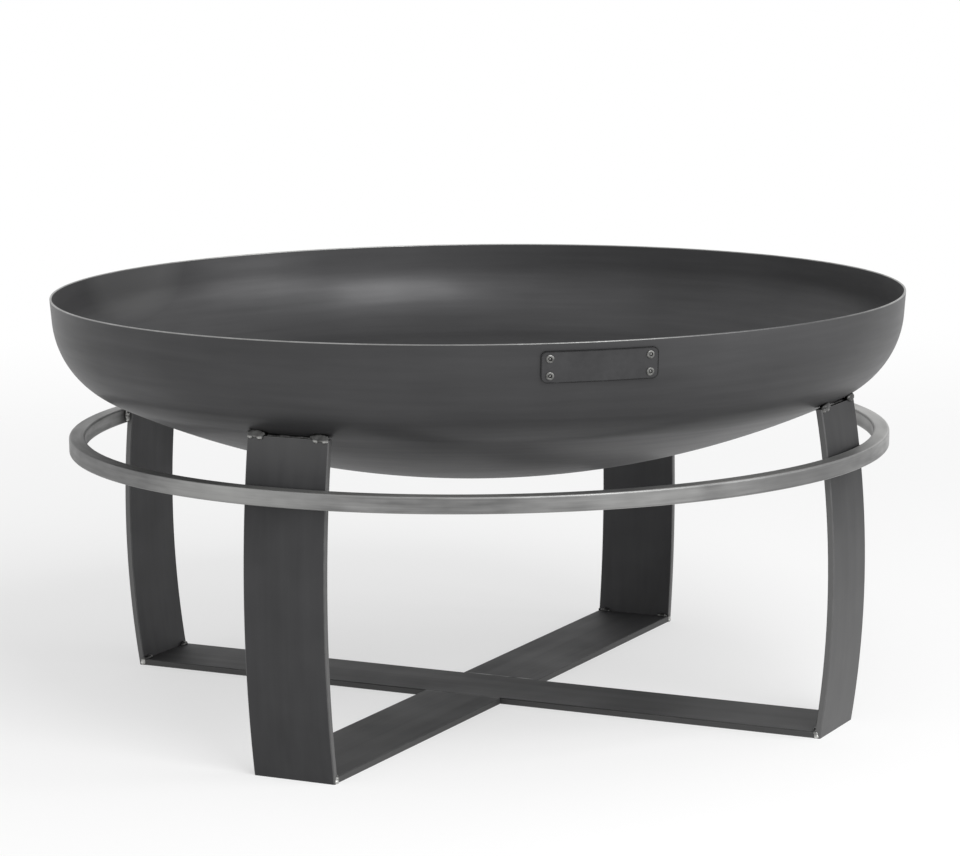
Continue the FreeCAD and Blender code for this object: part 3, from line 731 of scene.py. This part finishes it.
def dish_section(dish):
    """The dish's section from its axis out to the rim and back, and where the lip starts and ends."""
    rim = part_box("bowl")[1]
    lean, sheet, lip = dish.flange_lean, dish.sheet, dish.lip_round
    knuckle = (
        rim.x - dish.flange_height * math.tan(lean) - dish.knuckle_radius * math.cos(lean),
        rim.z - dish.flange_height + dish.knuckle_radius * math.sin(lean),
    )
    rise = math.sqrt((dish.crown_radius - dish.knuckle_radius) ** 2 - knuckle[0] ** 2)
    crown = (0, knuckle[1] + rise)
    turn = math.atan2(knuckle[0], rise)
    upright = QUARTER_TURN - lean

    def wall(inset):
        """The bottom and the knuckle of one face of the sheet."""
        bottom = arc(crown, dish.crown_radius - inset, 0, turn, CROWN_STEPS)
        return bottom[:-1] + arc(knuckle, dish.knuckle_radius - inset, turn, upright, KNUCKLE_STEPS)

    def flange(start, end):
        """The points between the two ends of a straight stretch."""
        shares = [step / FLANGE_STEPS for step in range(1, FLANGE_STEPS)]
        return [tuple(a + (b - a) * share for a, b in zip(start, end)) for share in shares]

    tilt = 1 / math.cos(lean)
    outer_lip = (rim.x - lip * (1 + math.sin(lean)) * tilt, rim.z - lip)
    inner_lip = (rim.x - sheet * tilt + lip * (1 - math.sin(lean)) * tilt, rim.z - lip)
    outside = wall(0)
    inside = wall(sheet)
    lips = arc(outer_lip, lip, upright, math.pi, LIP_STEPS)
    lips += arc(inner_lip, lip, math.pi, math.pi + upright + 2 * lean, LIP_STEPS)
    climb = flange(outside[-1], lips[0])
    section = outside + climb + lips + flange(lips[-1], inside[-1]) + inside[::-1]
    first = len(outside) + len(climb)
    return section, first, first + len(lips) - 1


def tube_section(ring, inset):
    """A closed loop of the tube's section, inset from its skin, with the inner side pressed in."""
    low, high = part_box("ring")
    centre, middle = high.x - ring.side / 2, (low.z + high.z) / 2
    corner = max(ring.corner - inset, TUBE_LEAST_CORNER * MM)
    reach = ring.side / 2 - inset - corner
    corners = ((1, -1), (1, 1), (-1, 1), (-1, -1))
    bends = []
    for turn, (out, up) in enumerate(corners):
        spot = (centre + out * reach, middle + up * reach)
        start, end = turn * QUARTER_TURN, (turn + 1) * QUARTER_TURN
        bends.append(arc(spot, corner, start, end, TUBE_CORNER_STEPS))
    loop = []
    for turn, bend in enumerate(bends):
        start, end = bend[-1], bends[(turn + 1) % len(bends)][0]
        is_inner = corners[turn] == (-1, 1)
        loop += bend
        for share in TUBE_SIDE_SHARES:
            # A shallow parabola, deepest in the middle of the side
            dip = ring.dip * 4 * share * (1 - share) if is_inner else 0
            x, z = (a + (b - a) * share for a, b in zip(start, end))
            loop.append((x + dip, z))
    return loop + loop[:1]


def rivet_sections(rivet):
    """A rivet sleeve's closed section, its mandrel's section, and where the hole starts and ends."""
    bore_gap, tail_gap, dome_gap = 0.05 * MM, 0.02 * MM, 0.25 * MM
    lip_out, lip_down = 0.15 * MM, 0.12 * MM
    floor_in, floor_up = 0.6 * MM, 0.15 * MM
    bulb_round, bulb_cut = 0.8 * MM, 0.25 * MM
    tip_up, tip_down, tip_side = 0.45 * MM, 0.15 * MM, 0.4 * MM
    head, recess, shank, bulb = rivet.head / 2, rivet.recess / 2, rivet.shank / 2, rivet.bulb / 2
    stem, tail = rivet.mandrel / 2, rivet.mandrel_head / 2
    bore = stem + bore_gap
    top, hole = rivet.head_height, rivet.head_height - rivet.recess_depth
    grip = -rivet.grip
    back = grip - rivet.bulb_length
    edge = DOME_EDGE * top
    angles = [math.radians(point * DOME_STEP) for point in range(DOME_POINTS)]
    dome = [(head * math.sqrt(math.cos(a)), edge + (top - edge) * math.sin(a)) for a in angles]
    dome = [point for point in dome if point[0] > recess + dome_gap]
    sleeve = [(head, 0), *dome, (recess + lip_out, top), (recess, top - lip_down)]
    sleeve += [(recess - floor_in / 2, hole + floor_up), (recess - floor_in, hole), (bore, hole)]
    sleeve += [(bore, back), (bulb - bulb_round, back), (bulb - bulb_cut, back + bulb_cut)]
    sleeve += [(bulb, back + bulb_round), (bulb, grip), (shank, grip), (shank, 0), (head, 0)]
    tip, tip_flat, tip_round = hole + tip_up, 0.55 * stem, 0.9 * stem
    mandrel = [(0, tip), (tip_flat, tip), (tip_round, tip - tip_down), (stem, tip - tip_side)]
    mandrel += [(stem, back - tail_gap), (tail, back - tail_gap)]
    mandrel += [(tail, back - rivet.mandrel_head_length), (0, back - rivet.mandrel_head_length)]
    hole_start = len(dome) + 2
    return sleeve, mandrel, (hole_start, hole_start + 3)


def rivet_places(rivet, dish):
    """Where each rivet sits on the badge plate, with its Z axis pointing out of the wall."""
    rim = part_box("bowl")[1]
    half_turn = math.asin(rivet.span / 2 / rim.x)
    facing = Matrix.Rotation(QUARTER_TURN + dish.flange_lean, 4, "Y")
    for azimuth in (rivet.azimuth - half_turn, rivet.azimuth + half_turn):
        for drop in (rivet.drop, rivet.drop + rivet.rise):
            wall = Vector((rim.x - drop * math.tan(dish.flange_lean), 0, rim.z - drop))
            on_wall = Matrix.Translation(wall) @ facing @ Matrix.Translation((0, 0, rivet.plate))
            yield Matrix.Rotation(azimuth, 4, "Z") @ on_wall


def revolve(shape, section, steps, is_second=None, place=Matrix()):
    """Turn a section round an axis. It ends on the axis or where it started."""
    rings = []
    for radius, height in section:
        if radius < ON_AXIS:
            rings.append([shape.verts.new(place @ Vector((0, 0, height)))] * steps)
            continue
        turns = [2 * math.pi * step / steps for step in range(steps)]
        spots = [Vector((radius * math.cos(a), radius * math.sin(a), height)) for a in turns]
        rings.append([shape.verts.new(place @ spot) for spot in spots])
    if section[0] == section[-1]:
        for vert in rings.pop():
            shape.verts.remove(vert)
        rings.append(rings[0])
    for index, (near, far) in enumerate(zip(rings, rings[1:])):
        for step in range(steps):
            after = (step + 1) % steps
            corners = list(dict.fromkeys((near[step], near[after], far[after], far[step])))
            face = shape.faces.new(corners)
            face.material_index = 1 if is_second and is_second(index) else 0
    bmesh.ops.recalc_face_normals(shape, faces=shape.faces)


def at_leg(leg, place, size):
    """A drop given by its place and half sizes as at a leg that points along X, turned to its own."""
    turn = Matrix.Rotation(math.radians(LEG_AZIMUTHS[leg]), 4, "Z")
    return turn @ Matrix.Translation(place) @ Matrix.Diagonal((*size, 1))


def dish_drops(weld):
    """The drops where a dish weld was started and ended, and the bead behind the leg's top."""
    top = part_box("leg_front_left")[1].z
    root_in, root_down = 0.8 * weld.flat_thickness, 0.1 * weld.root_bead
    root = Vector((weld.top_reach - root_in, 0, top - root_down))
    outer = weld.flat_width / 2 - 1.2 * weld.end_drop
    for leg in LEG_AZIMUTHS:
        # This bead closes the gap behind the leg's top; the weld's upper cover darkens it as painted
        # shade
        yield at_leg(leg, root, (weld.root_bead, weld.root_length / 2, weld.root_bead))
        for side in (-1, 1):
            size = weld.end_drop * SMALL_WELDS.get((leg, side), 1.0)
            sunk, height = 0.2 * size, 0.9 * size
            for run in (outer, outer - weld.end_drop_spread):
                place = Vector((weld.top_reach, side * run, top - sunk))
                yield at_leg(leg, place, (size, size, height))


def foot_drops(weld):
    """The upright beads at both sides of each foot, thinner upwards, over the leg's narrow side."""
    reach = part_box("base_bar_long")[1].x * math.sqrt(2) - weld.flat_width / 2
    for leg in LEG_AZIMUTHS:
        for side in (-1, 1):
            for share, height in FOOT_DROPS:
                size = weld.corner_bead * share
                place = Vector((reach + size, side * weld.flat_width / 2, height * MM))
                yield at_leg(leg, place, [size * part for part in FOOT_DROP_SHAPE])


def along_weld(place, upright):
    """The direction in which a bead at a place was laid."""
    if upright:
        return Vector(UP)
    # A leg stands in the middle of each quarter
    leg = QUARTER_TURN * (math.floor(math.atan2(place.y, place.x) / QUARTER_TURN) + 0.5)
    return Vector(level(leg + QUARTER_TURN))


def remeshed(drops, voxel):
    """Free a bmesh of drops that overlap, and give one of even cells in its place."""
    mesh = bpy.data.meshes.new("drops")
    drops.to_mesh(mesh)
    drops.free()
    source = bpy.data.objects.new("drops", mesh)
    bpy.context.scene.collection.objects.link(source)
    remesh = source.modifiers.new("even", "REMESH")
    remesh.mode = "VOXEL"
    remesh.voxel_size = voxel
    bpy.context.view_layer.update()
    evened = source.evaluated_get(bpy.context.evaluated_depsgraph_get())
    shape = bmesh.new()
    shape.from_mesh(evened.to_mesh())
    evened.to_mesh_clear()
    bpy.data.objects.remove(source)
    bpy.data.meshes.remove(mesh)
    return shape


def laid_beads(node, weld, more=(), upright=False):
    """The drops of a weld node and more, remeshed evenly, with the ripples and lumps of laid beads."""
    drops = bmesh.new()
    drops.from_mesh(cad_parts[node].data)
    bmesh.ops.remove_doubles(drops, verts=drops.verts, dist=SAME_PLACE * MM)
    for place in more:
        bmesh.ops.create_icosphere(drops, subdivisions=3, radius=1, matrix=place)
    shape = remeshed(drops, weld.voxel)
    if not shape.verts:
        raise RuntimeError(f"{node} gave no bead")
    bmesh.ops.smooth_vert(shape, verts=shape.verts, factor=FIRST_SMOOTHING)
    shape.normal_update()
    moves = []
    for vert in shape.verts:
        run = vert.co.dot(along_weld(vert.co, upright))
        ripple = weld.ripple_depth * (abs(math.sin(math.pi * run / weld.ripple_pitch)) - 0.5)
        lump = weld.lump_depth * noise.noise(vert.co / weld.lump_size)
        moves.append(vert.normal * (ripple + lump))
    for vert, move in zip(shape.verts, moves):
        vert.co += move
        vert.co.z = max(vert.co.z, FLOOR_GAP * MM)
        if not upright:
            # A bead laid across a leg hardly hangs over the leg's narrow sides and lies flat on its face
            along = along_weld(vert.co, upright)
            outward = along.cross(Vector(UP))
            run, stand = vert.co.dot(along), vert.co.dot(outward) - weld.top_reach
            vert.co += along * (max(-weld.most_run, min(weld.most_run, run)) - run)
            vert.co -= outward * max(0, stand) * weld.flatness
    bmesh.ops.smooth_vert(shape, verts=shape.verts, factor=LAST_SMOOTHING)
    return shape


class FIREBOWL_OT_dish(Operator):
    """Build the pressed dish with its ground rim"""

    bl_idname = "fire_bowl.dish"
    bl_label = "Dish"

    def execute(self, context):
        scene = context.scene
        dish, finish = scene.fire_bowl_dish, scene.fire_bowl_finish
        section, lip_start, lip_end = dish_section(dish)
        shape = bmesh.new()
        revolve(shape, section, dish.steps, lambda index: lip_start <= index < lip_end)
        steels = [pressed_sheet(finish), ground_rim(finish)]
        add_piece("dish", shape, steels, ["bowl"])
        return {"FINISHED"}


class FIREBOWL_OT_legs(Operator):
    """Finish the four bowed legs"""

    bl_idname = "fire_bowl.legs"
    bl_label = "Legs"

    def execute(self, context):
        for leg in LEG_AZIMUTHS:
            dress(leg, leg_steel(context.scene.fire_bowl_finish, leg))
        return {"FINISHED"}


class FIREBOWL_OT_floor_cross(Operator):
    """Finish the bars of the floor cross and their seams"""

    bl_idname = "fire_bowl.floor_cross"
    bl_label = "Floor cross"

    def execute(self, context):
        finish = context.scene.fire_bowl_finish
        for bar in BAR_AZIMUTHS:
            dress(bar, bar_steel(finish, bar))
        dress("cross_seams", ground_weld(finish))
        return {"FINISHED"}


class FIREBOWL_OT_ring(Operator):
    """Build the ring of square tube"""

    bl_idname = "fire_bowl.ring"
    bl_label = "Ring"

    def execute(self, context):
        ring = context.scene.fire_bowl_ring
        shape = bmesh.new()
        revolve(shape, tube_section(ring, ring.wall), ring.steps)
        hollow = list(shape.faces)
        revolve(shape, tube_section(ring, 0), ring.steps)
        bmesh.ops.reverse_faces(shape, faces=hollow)
        tube = drawn_tube(context.scene.fire_bowl_finish)
        add_piece("rolled_tube", shape, [tube], ["ring"])
        return {"FINISHED"}


class FIREBOWL_OT_badge(Operator):
    """Finish the bare badge plate"""

    bl_idname = "fire_bowl.badge"
    bl_label = "Badge plate"

    def execute(self, context):
        scene = context.scene
        dress("badge_plate", cut_plate(scene.fire_bowl_finish, scene.fire_bowl_rivet.azimuth))
        return {"FINISHED"}


class FIREBOWL_OT_rivets(Operator):
    """Build the set rivets that hold the badge plate"""

    bl_idname = "fire_bowl.rivets"
    bl_label = "Rivets"

    def execute(self, context):
        scene = context.scene
        rivet, finish = scene.fire_bowl_rivet, scene.fire_bowl_finish
        sleeve, mandrel, (hole_start, hole_end) = rivet_sections(rivet)
        sleeves, mandrels = bmesh.new(), bmesh.new()
        for place in rivet_places(rivet, scene.fire_bowl_dish):
            revolve(sleeves, sleeve, rivet.steps, lambda index: hole_start <= index < hole_end, place)
            revolve(mandrels, mandrel, rivet.steps, place=place)
        zinc = zinc_plate(finish)
        hole = hole_in_shade(finish)
        add_piece("set_rivet_sleeves", sleeves, [zinc, hole], ["rivet_sleeves"])
        add_piece("broken_mandrels", mandrels, [zinc], ["rivet_mandrels"])
        return {"FINISHED"}


class FIREBOWL_OT_welds(Operator):
    """Lay the weld beads at the legs' tops, feet and round the ring"""

    bl_idname = "fire_bowl.welds"
    bl_label = "Welds"

    def execute(self, context):
        weld, finish = context.scene.fire_bowl_weld, context.scene.fire_bowl_finish
        beads = {
            "dish_weld_beads": ("bowl_tacks", laid_beads("bowl_tacks", weld, dish_drops(weld))),
            "foot_weld_beads": ("foot_tacks", laid_beads("foot_tacks", weld, foot_drops(weld))),
            "ring_weld_beads": ("ring_tacks", laid_beads("ring_tacks", weld, upright=True)),
        }
        edges = {
            "bowl_tacks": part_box("leg_front_left")[1].z,
            "foot_tacks": weld.flat_thickness,
            "ring_tacks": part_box("ring")[1].z,
        }
        for name, (node, shape) in beads.items():
            metal = weld_metal(finish, node, edges[node] / MM - SMOKE_AND_SHADE_DROPS[node])
            add_piece(name, shape, [metal], [node])
        return {"FINISHED"}


class FIREBOWL_OT_stage(Operator):
    """Set the floor, the light and the camera"""

    bl_idname = "fire_bowl.stage"
    bl_label = "Stage"

    def execute(self, context):
        scene = context.scene
        stage = scene.fire_bowl_stage
        scene.view_settings.view_transform = "Standard"
        self.add_floor(scene, stage)
        self.add_sky(scene, stage)
        self.add_lamp(scene, "key", stage.key_azimuth, stage.key_height, stage.key_power)
        self.add_lamp(scene, "side", stage.side_azimuth, stage.side_height, stage.side_power)
        self.add_camera(scene, stage)
        return {"FINISHED"}

    def add_floor(self, scene, stage):
        """A round paper floor."""
        shape = bmesh.new()
        reach = stage.floor_radius
        bmesh.ops.create_circle(shape, cap_ends=True, segments=FLOOR_SIDES, radius=reach)
        mesh = bpy.data.meshes.new("floor")
        shape.to_mesh(mesh)
        shape.free()
        mesh.materials.append(paper_floor(stage))
        floor = bpy.data.objects.new("floor", mesh)
        scene.collection.objects.link(floor)

    def add_sky(self, scene, stage):
        """Soft light from all round, white where it is seen."""
        world = bpy.data.worlds.new("studio")
        world.use_nodes = True
        tree = world.node_tree
        tree.nodes.clear()
        limits = {"Value": where_seen(tree), "To Min": stage.sky_strength, "To Max": 1.0}
        strength = add_node(tree, "ShaderNodeMapRange", limits).outputs[0]
        sky = add_node(tree, "ShaderNodeBackground", {"Color": stage.backdrop, "Strength": strength})
        add_node(tree, "ShaderNodeOutputWorld", {"Surface": sky.outputs[0]})
        scene.world = world

    def add_lamp(self, scene, name, azimuth, height, power):
        """A large square lamp that points at the middle of the floor."""
        stage = scene.fire_bowl_stage
        light = bpy.data.lights.new(name, "AREA")
        light.energy = power
        light.size = stage.lamp_size
        lamp = bpy.data.objects.new(name, light)
        scene.collection.objects.link(lamp)
        turn = Matrix.Rotation(azimuth, 4, "Z")
        lift = Matrix.Rotation(QUARTER_TURN - height, 4, "X")
        lamp.matrix_world = turn @ lift @ Matrix.Translation((0, 0, stage.lamp_distance))

    def add_camera(self, scene, stage):
        """The camera that sees the dish from in front, a little from the left and above."""
        lens = bpy.data.cameras.new("camera")
        lens.sensor_fit = "HORIZONTAL"
        lens.lens = stage.camera_lens
        camera = bpy.data.objects.new("camera", lens)
        scene.collection.objects.link(camera)
        turn = Matrix.Rotation(stage.camera_azimuth, 4, "Z")
        place = turn @ Vector((0, -stage.camera_distance, stage.camera_height))
        pan = Matrix.Rotation(stage.camera_azimuth + stage.camera_pan, 4, "Z")
        tilt = Matrix.Rotation(QUARTER_TURN - stage.camera_tilt, 4, "X")
        roll = Matrix.Rotation(stage.camera_roll, 4, "Z")
        camera.matrix_world = Matrix.Translation(place) @ pan @ tilt @ roll
        scene.camera = camera


class FIREBOWL_PT_panel(Panel):
    """Lists the pieces and their settings"""

    bl_idname = "FIREBOWL_PT_panel"
    bl_label = "Fire bowl"
    bl_space_type = "VIEW_3D"
    bl_region_type = "UI"
    bl_category = "Fire bowl"

    def draw(self, context):
        for operator in OPERATORS:
            self.layout.operator(operator.bl_idname)
        for pointer in SETTINGS:
            box = self.layout.box()
            settings = getattr(context.scene, pointer)
            for name in settings.__annotations__:
                box.prop(settings, name)


SETTINGS = {
    "fire_bowl_dish": DishSettings,
    "fire_bowl_ring": RingSettings,
    "fire_bowl_rivet": RivetSettings,
    "fire_bowl_weld": WeldSettings,
    "fire_bowl_finish": FinishSettings,
    "fire_bowl_stage": StageSettings,
}
OPERATORS = (
    FIREBOWL_OT_dish,
    FIREBOWL_OT_legs,
    FIREBOWL_OT_floor_cross,
    FIREBOWL_OT_ring,
    FIREBOWL_OT_badge,
    FIREBOWL_OT_rivets,
    FIREBOWL_OT_welds,
    FIREBOWL_OT_stage,
)
CLASSES = (*SETTINGS.values(), *OPERATORS, FIREBOWL_PT_panel)


def register():
    """Add the classes and the settings."""
    for item in CLASSES:
        bpy.utils.register_class(item)
    for name, group in SETTINGS.items():
        setattr(bpy.types.Scene, name, PointerProperty(type=group))


def unregister():
    """Take the classes and the settings away."""
    for name in SETTINGS:
        delattr(bpy.types.Scene, name)
    for item in reversed(CLASSES):
        bpy.utils.unregister_class(item)


def main():
    """Build every piece in order."""
    register()
    for operator in OPERATORS:
        name = operator.bl_idname.split(".")[1]
        getattr(bpy.ops.fire_bowl, name)()


if __name__ == "__main__":
    main()
